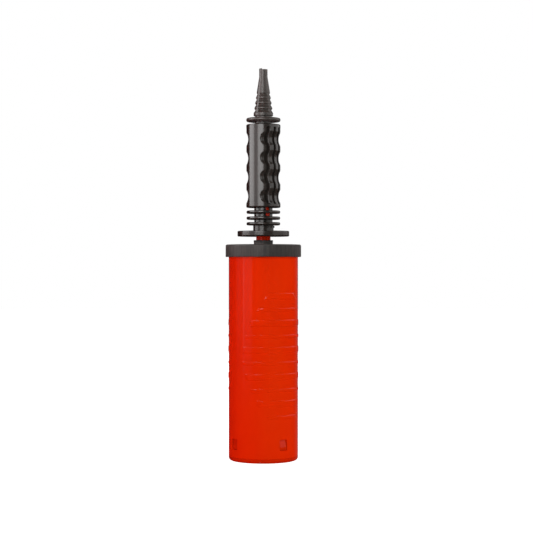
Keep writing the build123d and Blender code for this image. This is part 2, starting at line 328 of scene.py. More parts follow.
def makeSkinGroup():
    # moulded skin: slow waves and fine grain for the height, a slow drift that tints colour and gloss, and
    # fine upright streaks
    tree, given, taken = openTree(
        "mouldedSkin",
        "ShaderNodeTree",
        [
            ("Vector", direction, None), ("Wave Scale", number, 60.0), ("Grain Scale", number, 1500.0),
            ("Grain Share", number, 0.3),
        ],
        [("Height", number), ("Drift", number), ("Streak", number)],
    )
    vector = given.outputs["Vector"]
    wave = noise(tree, vector, given.outputs["Wave Scale"], 2.0)
    grain = noise(tree, vector, given.outputs["Grain Scale"], 4.0, 0.65)
    drift = noise(tree, stretched(tree, vector, (1.0, 1.0, 0.35)), 45.0, 3.0)
    share = given.outputs["Grain Share"]
    fine = calc(tree, "MULTIPLY", grain, share)
    broad = calc(tree, "MULTIPLY", wave, calc(tree, "SUBTRACT", 1.0, share))
    tree.links.new(calc(tree, "ADD", fine, broad), taken.inputs["Height"])
    tree.links.new(drift, taken.inputs["Drift"])
    upright = stretched(tree, vector, (1.0, 1.0, 0.06))
    streak = ramp(tree, noise(tree, upright, 750.0, 3.0), 0.35, 0.65, False)
    tree.links.new(streak, taken.inputs["Streak"])
    return tree


def makeWearAndEdgeShadeGroup():
    # handling marks and edge shade: an edge mask from the shape, which gives rubbed edges on the black
    # finishes and painted shade along the edges on the red, and fine long scratches
    tree, given, taken = openTree(
        "handlingMarksAndEdgeShade",
        "ShaderNodeTree",
        [("Vector", direction, None), ("Edge Start", number, 0.53), ("Edge End", number, 0.62)],
        [("Edge", number), ("Scratch", number)],
    )
    shape = tree.nodes.new("ShaderNodeNewGeometry")
    edge = ramp(tree, shape.outputs["Pointiness"], given.outputs["Edge Start"], given.outputs["Edge End"])
    patch = ramp(tree, noise(tree, given.outputs["Vector"], 350.0, 3.0), 0.42, 0.62)
    tree.links.new(calc(tree, "MULTIPLY", edge, patch), taken.inputs["Edge"])
    long = noise(tree, stretched(tree, given.outputs["Vector"], (1.0, 1.0, 0.03)), 2600.0, 2.0)
    where = ramp(tree, noise(tree, given.outputs["Vector"], 70.0, 2.0), 0.5, 0.7)
    line = ramp(tree, long, 0.70, 0.76)
    tree.links.new(calc(tree, "MULTIPLY", line, where), taken.inputs["Scratch"])
    return tree


def makeDustGroup():
    # a thin film that settles on faces that look up
    tree, given, taken = openTree(
        "dustFilm",
        "ShaderNodeTree",
        [("Vector", direction, None), ("Amount", number, 0.3)],
        [("Mask", number)],
    )
    shape = tree.nodes.new("ShaderNodeNewGeometry")
    split = tree.nodes.new("ShaderNodeSeparateXYZ")
    tree.links.new(shape.outputs["Normal"], split.inputs[0])
    up = ramp(tree, split.outputs["Z"], 0.35, 1.0)
    speck = ramp(tree, noise(tree, given.outputs["Vector"], 900.0, 5.0, 0.7), 0.4, 0.75)
    mask = calc(tree, "MULTIPLY", calc(tree, "MULTIPLY", up, speck), given.outputs["Amount"])
    tree.links.new(mask, taken.inputs["Mask"])
    return tree


skinGroup = makeSkinGroup()
wearAndEdgeShadeGroup = makeWearAndEdgeShadeGroup()
dustGroup = makeDustGroup()


def useGroup(tree, group, vector, values):
    node = tree.nodes.new("ShaderNodeGroup")
    node.node_tree = group
    tree.links.new(vector, node.inputs["Vector"])
    for label, value in values.items():
        node.inputs[label].default_value = value
    return node.outputs


dustColour = srgb(150, 146, 140)
# how much scratches, rubbed edges and dust dull the gloss, and how deep a scratch is beside the skin
scratchRough = 0.12
edgeRough = 0.1
dustRough = 0.4
scratchDepth = 0.2
sheenRough = 0.5


def makeFinish(name, look):
    # one finish: look holds its colours, its gloss, how strongly it mirrors and the size of its marks
    material = bpy.data.materials.new(name)
    material.use_nodes = True
    tree = material.node_tree
    shader = tree.nodes["Principled BSDF"]
    place = tree.nodes.new("ShaderNodeTexCoord").outputs["Object"]
    skin = useGroup(tree, skinGroup, place, {
        "Wave Scale": look["waveScale"],
        "Grain Scale": look["grainScale"],
        "Grain Share": look["grainShare"],
    })
    marks = useGroup(tree, wearAndEdgeShadeGroup, place, {})
    dust = useGroup(tree, dustGroup, place, {"Amount": look["dust"]})
    tone = mixColour(tree, ramp(tree, skin["Drift"], 0.3, 0.7), look["dark"], look["light"])
    streaks = calc(tree, "MULTIPLY", skin["Streak"], look.get("streak", 0.0))
    tone = mixColour(tree, streaks, tone, look["rubbedAndShadedTone"])
    # edge tint: rubbed, lighter edges on the black finishes; on the red it lays a deeper red along the
    # edges, which is painted shade and red bounce light
    edges = calc(tree, "MULTIPLY", marks["Edge"], look["edgeTint"])
    tone = mixColour(tree, edges, tone, look["rubbedAndShadedTone"])
    tone = mixColour(tree, dust["Mask"], tone, dustColour)
    tree.links.new(tone, shader.inputs["Base Color"])
    spread = calc(tree, "MULTIPLY", calc(tree, "SUBTRACT", skin["Drift"], 0.5), look["roughSpread"])
    rough = calc(tree, "ADD", spread, look["rough"])
    rough = calc(tree, "MULTIPLY_ADD", marks["Scratch"], scratchRough, rough)
    rough = calc(tree, "MULTIPLY_ADD", marks["Edge"], edgeRough, rough)
    rough = calc(tree, "MULTIPLY_ADD", dust["Mask"], dustRough, rough, clamp=True)
    tree.links.new(rough, shader.inputs["Roughness"])
    bump = tree.nodes.new("ShaderNodeBump")
    bump.inputs["Strength"].default_value = look["bump"]
    bump.inputs["Distance"].default_value = look["bumpDepth"] * mm
    height = calc(tree, "MULTIPLY_ADD", marks["Scratch"], -scratchDepth, skin["Height"])
    tree.links.new(height, bump.inputs["Height"])
    tree.links.new(bump.outputs["Normal"], shader.inputs["Normal"])
    shader.inputs["IOR"].default_value = look["ior"]
    shader.inputs["Metallic"].default_value = look.get("metal", 0.0)
    shader.inputs["Specular IOR Level"].default_value = look.get("mirror", 0.5)
    if "sheen" in look:
        shader.inputs["Sheen Weight"].default_value = look["sheen"]
        shader.inputs["Sheen Roughness"].default_value = sheenRough
    return material


# the red's edge tone is a deeper, more saturated red: painted shade and red bounce light along the edges of
# the bars
redLook = {
    "dark": srgb(218, 43, 2), "light": srgb(223, 47, 3), "rubbedAndShadedTone": srgb(206, 22, 3), "edgeTint": 0.8,
    "rough": 0.045, "roughSpread": 0.03, "ior": 1.45, "mirror": 0.14, "bump": 0.25, "bumpDepth": 0.05,
    "waveScale": 90.0, "grainScale": 1800.0, "grainShare": 0.12, "dust": 0.05,
}
glossLook = {
    "dark": srgb(38, 35, 32), "light": srgb(46, 43, 39), "rubbedAndShadedTone": srgb(92, 88, 84), "edgeTint": 0.5,
    "rough": 0.20, "roughSpread": 0.14, "ior": 1.5, "bump": 0.30, "bumpDepth": 0.05,
    "waveScale": 160.0, "grainScale": 2400.0, "grainShare": 0.25, "dust": 0.07,
}
matteLook = {
    "dark": srgb(25, 23, 20), "light": srgb(33, 31, 28), "rubbedAndShadedTone": srgb(112, 108, 102), "edgeTint": 0.45,
    "rough": 0.55, "roughSpread": 0.16, "ior": 1.45, "bump": 0.8, "bumpDepth": 0.12,
    "waveScale": 500.0, "grainScale": 1400.0, "grainShare": 0.8, "dust": 0.3, "streak": 0.12, "sheen": 0.09,
}
satinLook = {
    "dark": srgb(54, 51, 47), "light": srgb(62, 58, 54), "rubbedAndShadedTone": srgb(112, 108, 102), "edgeTint": 0.5,
    "rough": 0.36, "roughSpread": 0.14, "ior": 1.47, "bump": 0.4, "bumpDepth": 0.05,
    "waveScale": 300.0, "grainScale": 2200.0, "grainShare": 0.5, "dust": 0.12, "sheen": 0.06,
}
rubberLook = {
    "dark": srgb(22, 22, 23), "light": srgb(34, 34, 35), "rubbedAndShadedTone": srgb(70, 70, 72), "edgeTint": 0.3,
    "rough": 0.72, "roughSpread": 0.2, "ior": 1.5, "bump": 0.5, "bumpDepth": 0.06,
    "waveScale": 300.0, "grainScale": 2600.0, "grainShare": 0.7, "dust": 0.2, "sheen": 0.15,
}
steelLook = {
    "dark": srgb(120, 122, 126), "light": srgb(158, 160, 163), "rubbedAndShadedTone": srgb(205, 206, 208),
    "edgeTint": 0.6, "rough": 0.32, "roughSpread": 0.2, "ior": 2.5, "bump": 0.3, "bumpDepth": 0.03,
    "waveScale": 700.0, "grainScale": 3000.0, "grainShare": 0.5, "dust": 0.05, "metal": 1.0,
}
# a darker copy of the red plastic, without the edge tint: painted shade for the red parts that sit in
# shadow, the rod and the pieces inside the barrel
shadedRedLook = {
    **redLook, "dark": srgb(196, 38, 3), "light": srgb(204, 42, 4), "edgeTint": 0.0, "streak": 0.1,
}
redPlastic = makeFinish("redPlastic", redLook)
shadedRed = makeFinish("shadedRed", shadedRedLook)
glossBlack = makeFinish("glossBlack", glossLook)
matteBlack = makeFinish("matteBlack", matteLook)
satinBlack = makeFinish("satinBlack", satinLook)
blackRubber = makeFinish("blackRubber", rubberLook)
springSteel = makeFinish("springSteel", steelLook)
print("materials made")

# ---- barrel

barrelSizes = {
    "columns": 360,
    "bars": 10, "barPitch": 10.1, "thickBar": 4.3, "thinBar": 2.06, "barRaise": 0.32, "barSoft": 0.45,
    "barsMiddle": 80.15, "barsBearing": 35.0, "barsHalfWidth": 25.0, "barsHalfHeight": 52.8,
    "radius": 26.5, "wall": 1.6, "windows": 4, "windowColumns": 7, "windowLow": 9.7, "windowHigh": 17.6,
    "seamBearing": 9.0, "seamRaise": 0.05,
}


def makeBarsTree():
    # raises horizontal bars, thick and thin by turns, inside an ellipse that is seen along one bearing, and
    # a fine upright seam at another
    tree, given, taken = openTree(
        "raisedBars",
        "GeometryNodeTree",
        [
            ("Geometry", geometry, None), ("Bars", whole, 10), ("Pitch", number, 0.01),
            ("Thick", number, 0.004), ("Thin", number, 0.002), ("Raise", number, 0.0003),
            ("Soft", number, 0.0004), ("Middle", number, 0.08), ("Bearing", number, 0.6),
            ("Half Width", number, 0.025), ("Half Height", number, 0.05), ("Skin Radius", number, 0.026),
            ("Seam Bearing", number, 0.1), ("Seam Raise", number, 0.0), ("Material", materialSocket, None),
        ],
        [("Geometry", geometry)],
    )
    value = given.outputs
    x, y, z = pointParts(tree)
    last = calc(tree, "SUBTRACT", value["Bars"], 1.0)
    highest = calc(tree, "MULTIPLY_ADD", last, calc(tree, "MULTIPLY", value["Pitch"], 0.5), value["Middle"])
    steps = calc(tree, "DIVIDE", calc(tree, "SUBTRACT", highest, z), value["Pitch"])
    index = calc(tree, "MINIMUM", calc(tree, "MAXIMUM", calc(tree, "ROUND", steps), 0.0), last)
    away = calc(tree, "ABSOLUTE", calc(tree, "SUBTRACT", steps, index))
    away = calc(tree, "MULTIPLY", away, value["Pitch"])
    odd = calc(tree, "MODULO", index, 2.0)
    difference = calc(tree, "SUBTRACT", value["Thin"], value["Thick"])
    half = calc(tree, "MULTIPLY", calc(tree, "MULTIPLY_ADD", odd, difference, value["Thick"]), 0.5)
    before = calc(tree, "MULTIPLY", value["Soft"], -0.5)
    after = calc(tree, "MULTIPLY", value["Soft"], 0.5)
    inBar = ramp(tree, calc(tree, "SUBTRACT", half, away), before, after)
    across = acrossBearing(tree, x, y, value["Bearing"])
    wide = calc(tree, "POWER", calc(tree, "DIVIDE", across, value["Half Width"]), 2.0)
    up = calc(tree, "DIVIDE", calc(tree, "SUBTRACT", z, value["Middle"]), value["Half Height"])
    spread = calc(tree, "SQRT", calc(tree, "ADD", wide, calc(tree, "POWER", up, 2.0)))
    edge = calc(tree, "DIVIDE", value["Soft"], value["Half Width"])
    inside = ramp(tree, calc(tree, "SUBTRACT", 1.0, spread), calc(tree, "MULTIPLY", edge, -0.5), edge)
    distance = axisDistance(tree, x, y)
    onSkin = calc(tree, "GREATER_THAN", distance, calc(tree, "SUBTRACT", value["Skin Radius"], 0.05 * mm))
    seamAcross = acrossBearing(tree, x, y, value["Seam Bearing"])
    seam = calc(tree, "LESS_THAN", calc(tree, "ABSOLUTE", seamAcross), 0.1 * mm)
    raised = calc(tree, "MULTIPLY", calc(tree, "MULTIPLY", inBar, inside), value["Raise"])
    raised = calc(tree, "ADD", raised, calc(tree, "MULTIPLY", seam, value["Seam Raise"]))
    moved = radialShift(tree, value["Geometry"], calc(tree, "MULTIPLY", raised, onSkin))
    finishTree(tree, moved, given, taken)
    return tree


def barrelHeights(size, low, high):
    # rows: close together at the edges of the bars, and at the windows' edges
    inset = 0.35
    beside = 1.5
    heights = {low + inset, high - inset, low + 2 * beside}
    bottom = size["windowLow"]
    top = size["windowHigh"]
    heights |= {bottom - beside, bottom, (bottom + top) / 2, top, top + beside}
    highest = size["barsMiddle"] + size["barPitch"] * (size["bars"] - 1) / 2
    for i in range(size["bars"]):
        half = (size["thinBar"] if i % 2 else size["thickBar"]) / 2
        for side in (-1, 1):
            edge = highest - i * size["barPitch"] + side * half
            for share in (-0.8, -0.5, 0, 0.5, 0.8):
                heights.add(edge + share * size["barSoft"])
        heights.add(highest - i * size["barPitch"])
        heights.add(highest - (i + 0.5) * size["barPitch"])
    step = 8.0
    free = highest + size["thickBar"] + step / 2
    while free < high - 4:
        heights.add(free)
        free += step
    return sorted(heights)


def makeBarrel(size):
    low = boxOf("barrel")[0].z
    high = boxOf("barrel")[1].z
    radius = size["radius"]
    inner = radius - size["wall"]
    count = size["columns"]
    heights = barrelHeights(size, low, high)
    inWindow = [h for h in heights if size["windowLow"] <= h <= size["windowHigh"]]
    lip = 0.25
    outline = [(inner, low), (radius - lip, low), (radius, low + lip)]
    outline += [(radius, h) for h in heights]
    outline += [(radius, high - lip), (radius - lip, high), (inner, high)]
    outline += [(inner, h) for h in reversed(inWindow)]
    rows = [circleRow(r, z, count) for r, z in outline]
    outerFirst = outline.index((radius, inWindow[0]))
    innerFirst = outline.index((inner, inWindow[-1]))
    openRows = set(range(outerFirst, outerFirst + len(inWindow) - 1))
    openRows |= set(range(innerFirst, innerFirst + len(inWindow) - 1))
    firstColumn = round(size["barsBearing"] * count / 360)

    def isWindow(i, j):
        turn = (j - firstColumn + size["windowColumns"]) % (count // size["windows"])
        return i in openRows and turn < 2 * size["windowColumns"]

    points, faces = meshRows(rows, isWindow)
    faces += windowWalls(size, outerFirst, innerFirst, len(inWindow), firstColumn)
    piece = addPiece("barrelShell", points, faces)
    runTree(piece, makeBarsTree(), {
        "Bars": size["bars"], "Pitch": size["barPitch"] * mm, "Thick": size["thickBar"] * mm,
        "Thin": size["thinBar"] * mm, "Raise": size["barRaise"] * mm, "Soft": size["barSoft"] * mm,
        "Middle": size["barsMiddle"] * mm, "Bearing": math.radians(size["barsBearing"]),
        "Half Width": size["barsHalfWidth"] * mm, "Half Height": size["barsHalfHeight"] * mm,
        "Skin Radius": radius * mm, "Seam Bearing": math.radians(size["seamBearing"]),
        "Seam Raise": size["seamRaise"] * mm, "Material": redPlastic,
    })
    return piece


def windowWalls(size, outerFirst, innerFirst, rowCount, firstColumn):
    # the faces through the wall round each window
    count = size["columns"]
    walls = []

    def outer(k, j):
        return (outerFirst + k) * count + j % count

    def inner(k, j):
        return (innerFirst + rowCount - 1 - k) * count + j % count

    for w in range(size["windows"]):
        left = firstColumn - size["windowColumns"] + w * count // size["windows"]
        right = left + 2 * size["windowColumns"]
        for k in range(rowCount - 1):
            for j in (left, right):
                walls.append((outer(k, j), outer(k + 1, j), inner(k + 1, j), inner(k, j)))
        for j in range(left, right):
            for k in (0, rowCount - 1):
                walls.append((outer(k, j), outer(k, j + 1), inner(k, j + 1), inner(k, j)))
    return walls


barrelShell = makeBarrel(barrelSizes)
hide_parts("barrel")
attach(barrelShell, "barrel")
print("barrel made:", len(barrelShell.data.polygons), "faces")

# ---- cap

capSizes = {
    "columns": 720, "radius": 28.9, "bottom": 155.3, "top": 164.8, "plate": 2.1, "edge": 1.2, "bore": 26.7,
    "bossOuter": 8.6, "bossBore": 7.1, "bossBottom": 157.2, "sealSeat": 162.0, "rodBore": 5.7,
    "collarWaist": 7.3, "collarLip": 7.45, "collarTop": 168.1, "lipHeight": 1.0,
    "vents": 6, "ventCircle": 13.5, "ventRadius": 1.6,
    "ribs": 180, "ribDepth": 0.06, "ribMargin": 0.9,
}


def makeRibsTree():
    # fine upright ribs round an upright wall, fading out near its two ends
    tree, given, taken = openTree(
        "fineRibs",
        "GeometryNodeTree",
        [
            ("Geometry", geometry, None), ("Ribs", whole, 180), ("Depth", number, 0.0001),
            ("Radius", number, 0.03), ("Low", number, 0.15), ("High", number, 0.16),
            ("Margin", number, 0.001), ("Material", materialSocket, None),
        ],
        [("Geometry", geometry)],
    )
    value = given.outputs
    x, y, z = pointParts(tree)
    turn = calc(tree, "ARCTAN2", x, calc(tree, "MULTIPLY", y, -1.0))
    wave = calc(tree, "COSINE", calc(tree, "MULTIPLY", turn, value["Ribs"]))
    depth = calc(tree, "MULTIPLY", calc(tree, "MULTIPLY_ADD", wave, 0.5, -0.5), value["Depth"])
    distance = axisDistance(tree, x, y)
    onSkin = calc(tree, "GREATER_THAN", distance, calc(tree, "SUBTRACT", value["Radius"], 0.02 * mm))
    above = ramp(tree, calc(tree, "SUBTRACT", z, value["Low"]), 0.0, value["Margin"])
    below = ramp(tree, calc(tree, "SUBTRACT", value["High"], z), 0.0, value["Margin"])
    held = calc(tree, "MULTIPLY", calc(tree, "MULTIPLY", above, below), onSkin)
    moved = radialShift(tree, value["Geometry"], calc(tree, "MULTIPLY", depth, held))
    finishTree(tree, moved, given, taken)
    return tree


def makeCap(size):
    under = size["top"] - size["plate"]
    lipLow = size["collarTop"] - size["lipHeight"]
    corners = [
        (size["radius"], size["bottom"], 0.35), (size["radius"], size["top"], size["edge"]),
        (size["collarWaist"], size["top"], 0.3), (size["collarWaist"], lipLow, 0.15),
        (size["collarLip"], lipLow, 0.3), (size["collarLip"], size["collarTop"], 0.35),
        (size["rodBore"], size["collarTop"], 0.4), (size["rodBore"], size["sealSeat"], 0),
        (size["bossBore"], size["sealSeat"], 0), (size["bossBore"], size["bossBottom"], 0.2),
        (size["bossOuter"], size["bossBottom"], 0.2), (size["bossOuter"], under, 0),
        (size["bore"], under, 0), (size["bore"], size["bottom"], 0.2),
    ]
    outline = roundCorners(corners)
    wall = [p for p in outline if p.x > size["radius"] - 0.01]
    low = min(p.y for p in wall)
    high = max(p.y for p in wall)
    start = outline.index(min(wall, key=lambda p: p.y)) + 1
    extra = [Vector((size["radius"], low + (high - low) * k / 12)) for k in range(1, 12)]
    outline[start:start] = extra
    rows = [circleRow(p.x, p.y, size["columns"]) for p in outline]
    piece = addPiece("capShell", *meshRows(rows))
    vents = []
    for k in range(size["vents"]):
        turn = math.radians(360 * k / size["vents"])
        at = (size["ventCircle"] * math.sin(turn), -size["ventCircle"] * math.cos(turn))
        vents.append(roundCutter(size["ventRadius"], under - 1, size["top"] + 1, at))
    cutAway(piece, vents)
    runTree(piece, makeRibsTree(), {
        "Ribs": size["ribs"], "Depth": size["ribDepth"] * mm, "Radius": size["radius"] * mm,
        "Low": low * mm, "High": high * mm, "Margin": size["ribMargin"] * mm, "Material": matteBlack,
    })
    return piece


capShell = makeCap(capSizes)
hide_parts("cap")
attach(capShell, "barrel")
print("cap made:", len(capShell.data.polygons), "faces")

# ---- handle

handleSizes = {
    "flangeRadius": 19.8, "flangeBottom": 171.0, "flangeTop": 175.2, "flangeRound": 0.7,
    "lowerNeck": 7.8, "neck": 7.0, "finRadius": 12.85, "finThick": 2.3, "finRound": 0.8,
    "fins": (180.7, 185.0, 189.6), "rodBore": 5.55, "rodTop": 201.05, "airBore": 3.0,
    "socket": 4.7, "socketBottom": 244.0,
    "gripRadius": 13.1, "gripBottom": 193.0, "gripTop": 256.7, "gripRound": 0.9, "gripBearing": 54.0,
    "scoopDepth": 1.48, "scoopPitch": 14.57, "scoops": 4, "firstScoop": 201.5,
    "scoopCentre": 11.0, "scoopReach": 5.4, "scoopWall": 1.3, "scoopSoft": 0.35,
    "slots": 4, "slotPitch": 5.24, "slotWidth": 2.4, "slotBottom": 195.4, "slotTop": 254.3,
    "slotEdge": 0.15, "slotColumns": 14,
    "core": 7.2, "web": 1.5, "rowStep": 0.75, "cheekColumns": 23, "ribColumns": 4,
    "windowBearing": 29.0, "windowWidth": 3.5, "windowBottom": 186.5, "windowRadius": 7.2,
    "pipRadius": 0.85, "pipHeight": 178.3, "pips": (26.5, 51.0, 88.0),
}


def smoothStep(t):
    t = min(max(t, 0.0), 1.0)
    return t * t * (3 - 2 * t)


def gripRadiusAt(size, turn, z):
    # radius of the grip's skin: each scoop is an arc cut to a depth, with soft rims and a round end at its
    # cheek; turn is counted from the middle of the scooped side
    radius = size["gripRadius"]
    index = round((z - size["firstScoop"]) / size["scoopPitch"])
    away = abs(z - size["firstScoop"] - index * size["scoopPitch"])
    if not 0 <= index < size["scoops"] or away >= size["scoopReach"]:
        return radius
    depth = size["scoopDepth"]
    arc = (size["scoopReach"] ** 2 + depth ** 2) / (2 * depth)
    cut = math.sqrt(arc ** 2 - away ** 2) - arc + depth
    front = radius * abs(math.cos(turn))
    start = size["scoopCentre"] - math.sqrt(size["scoopReach"] ** 2 - away ** 2)
    cut *= smoothStep((front - start) / size["scoopWall"])
    return radius - cut * cut / (cut + size["scoopSoft"] * math.exp(-cut / size["scoopSoft"]))


def skinPoint(size, across, z):
    # the point of the skin at a given distance across the scooped side
    radius = size["gripRadius"]
    for _ in range(5):
        radius = gripRadiusAt(size, math.asin(across / radius), z)
    return across, math.sqrt(radius ** 2 - across ** 2)


def slotFloor(size, across):
    # a slot ends on the round core, or on the middle web where the core has fallen away
    return max(size["web"], math.sqrt(max(size["core"] ** 2 - across ** 2, 0)))


def slotPoints(size, middle, z, half):
    # one slot's columns from left to right: down one wall, along the floor and up the other
    edge = size["slotEdge"]
    limit = size["slotWidth"] / 2 + 2 * edge
    if half <= 0:
        columns = size["slotColumns"]
        spread = [2 * k / (columns - 1) - 1 for k in range(columns)]
        return [skinPoint(size, middle + limit * share, z) for share in spread]
    walls = []
    for side in (-1, 1):
        outer = middle + side * limit
        shoulder = middle + side * (half + edge)
        wall = middle + side * half
        top = skinPoint(size, wall, z)[1]
        floor = slotFloor(size, wall)
        rounded = skinPoint(size, middle + side * (half + 0.3 * edge), z)
        points = [
            skinPoint(size, outer, z), skinPoint(size, shoulder, z),
            (rounded[0], rounded[1] - 0.3 * edge),
            (wall, top - edge), (wall, top - 2.5 * edge), (wall, floor),
        ]
        walls.append(points)
    inner = []
    for share in (-1 / 3, 1 / 3):
        across = middle + share * half
        inner.append((across, slotFloor(size, across)))
    return walls[0] + inner + walls[1][::-1]


def gripRow(size, z, half):
    # all columns of the grip at one height, in its own turned frame, as (across, front)
    middles = [(k - (size["slots"] - 1) / 2) * size["slotPitch"] for k in range(size["slots"])]
    side = []
    for k, middle in enumerate(middles):
        points = slotPoints(size, middle, z, half)
        if k:
            last = side[-1][0]
            for j in range(1, size["ribColumns"] + 1):
                across = last + (points[0][0] - last) * j / (size["ribColumns"] + 1)
                side.append(skinPoint(size, across, z))
        side += points
    first = math.atan2(side[-1][0], side[-1][1])
    cheek = []
    for j in range(1, size["cheekColumns"] + 1):
        turn = first + (math.pi - 2 * first) * j / (size["cheekColumns"] + 1)
        radius = gripRadiusAt(size, turn, z)
        cheek.append((radius * math.sin(turn), radius * math.cos(turn)))
    turned = [(-across, -front) for across, front in side + cheek]
    return side + cheek + turned


def placed(size, row, z):
    # from the grip's turned frame to the object's
    turn = math.radians(size["gripBearing"])
    points = []
    for across, front in row:
        x = across * math.cos(turn) + front * math.sin(turn)
        y = across * math.sin(turn) - front * math.cos(turn)
        points.append((x, y, z))
    return points


def gripHeights(size):
    # (height, slot half-width) of the grip's rows; a doubled height makes a slot's end wall
    radius = size["slotWidth"] / 2
    turns = [7, 22, 38, 55, 72]
    low = size["slotBottom"] + radius
    high = size["slotTop"] - radius
    ends = []
    for degrees in turns:
        turn = math.radians(degrees)
        ends.append((radius * math.cos(turn), radius * math.sin(turn)))
    rows = [(size["gripBottom"] + 1.2, 0.0), (low - ends[0][0], 0.0)]
    rows += [(low - past, half) for past, half in ends]
    count = round((high - low) / size["rowStep"])
    rows += [(low + (high - low) * k / count, radius) for k in range(count + 1)]
    rows += [(high + past, half) for past, half in reversed(ends)]
    rows += [(high + ends[0][0], 0.0), (size["gripTop"] - 1.2, 0.0)]
    return rows


def handleOutline(size):
    corners = [
        (size["gripRadius"], size["gripTop"], size["gripRound"]), (size["socket"], size["gripTop"], 0.3),
        (size["socket"], size["socketBottom"], 0), (size["airBore"], size["socketBottom"], 0),
        (size["airBore"], size["rodTop"], 0), (size["rodBore"], size["rodTop"], 0),
        (size["rodBore"], size["flangeBottom"], 0.3),
        (size["flangeRadius"], size["flangeBottom"], size["flangeRound"]),
        (size["flangeRadius"], size["flangeTop"], size["flangeRound"]),
        (size["lowerNeck"], size["flangeTop"], 0.4),
    ]
    for k, middle in enumerate(size["fins"]):
        low = middle - size["finThick"] / 2
        high = middle + size["finThick"] / 2
        corners.append((size["neck"] if k else size["lowerNeck"], low, 0.25))
        corners.append((size["finRadius"], low, size["finRound"]))
        corners.append((size["finRadius"], high, size["finRound"]))
        corners.append((size["neck"], high, 0.25))
    corners.append((size["neck"], size["gripBottom"], 0.25))
    corners.append((size["gripRadius"], size["gripBottom"], size["gripRound"]))
    return roundCorners(corners)


def makeHandle(size):
    plain = gripRow(size, size["gripBottom"], 0.0)
    turns = [math.atan2(u, v) for u, v in plain]
    rows = []
    for p in handleOutline(size):
        rows.append(placed(size, [(p.x * math.sin(t), p.x * math.cos(t)) for t in turns], p.y))
    for z, half in gripHeights(size):
        rows.append(placed(size, gripRow(size, z, half), z))
    piece = addPiece("handleBody", *meshRows(rows))
    deep = 3.0
    height = size["gripBottom"] - size["windowBottom"]
    centre = (0, deep / 2 - size["windowRadius"], size["windowBottom"] + height / 2)
    opening = boxCutter((size["windowWidth"], deep, height), centre, size["windowBearing"])
    cutAway(piece, [opening])
    pips = []
    for bearing in size["pips"]:
        turn = math.radians(bearing)
        bpy.ops.mesh.primitive_ico_sphere_add(subdivisions=3, radius=size["pipRadius"] * mm, location=(
            size["lowerNeck"] * math.sin(turn) * mm, -size["lowerNeck"] * math.cos(turn) * mm,
            size["pipHeight"] * mm))
        pip = bpy.context.object
        pip.data.transform(pip.matrix_world)
        pip.matrix_world.identity()
        for face in pip.data.polygons:
            face.use_smooth = True
        pips.append(pip)
    return joinPieces("handleBody", [piece] + pips)


handleBody = makeHandle(handleSizes)
handleBody.data.materials.append(glossBlack)
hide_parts("handle", "grip")
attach(handleBody, "rod")
print("handle made:", len(handleBody.data.polygons), "faces")

# ---- nozzle

nozzleSizes = {
    "columns": 160, "neck": 6.15, "neckBottom": 256.7, "disc": 13.1, "discBottom": 258.8, "discTop": 261.6,
    "discRound": 1.1, "barbs": 5, "barbPitch": 4.03, "firstLip": 265.0, "firstLipLow": 263.2,
    "lipRadius": 7.45, "lipTaper": 0.6, "lipThick": 0.9, "lipRound": 0.3,
    "undercut": 1.42, "undercutTaper": 0.13, "rootRise": 2.75,
    "tip": 3.2, "tipLow": 293.2, "tipTop": 299.6, "tipRound": 0.3, "bore": 2.0,
    "spigot": 4.65, "spigotBottom": 245.0, "grooveRadius": 3.5, "grooveHeight": 250.0, "grooveHalf": 1.0,
    "stepDepth": 0.7, "stepFrom": -1.0, "webs": (45, 135, 225, 315), "webWidth": 2.3, "webSink": 0.2,
}


def nozzleRow(size, point, highest):
    # one row of the nozzle; between the barbs it follows the undercut, except where a web fills it
    first = size["firstLip"]
    taper = size["lipTaper"] * (point.y - first) / size["barbPitch"]
    envelope = size["lipRadius"] - taper - size["webSink"]
    if not first <= point.y <= highest or point.x < size["tip"] or envelope <= point.x:
        return circleRow(point.x, point.y, size["columns"])
    row = []
    for x, y, z in circleRow(1, point.y, size["columns"]):
        turn = math.atan2(x, -y)
        near = min(abs(math.remainder(turn - math.radians(web), math.tau)) for web in size["webs"])
        radius = envelope if near < math.asin(size["webWidth"] / 2 / envelope) else point.x
        row.append((radius * x, radius * y, z))
    return row


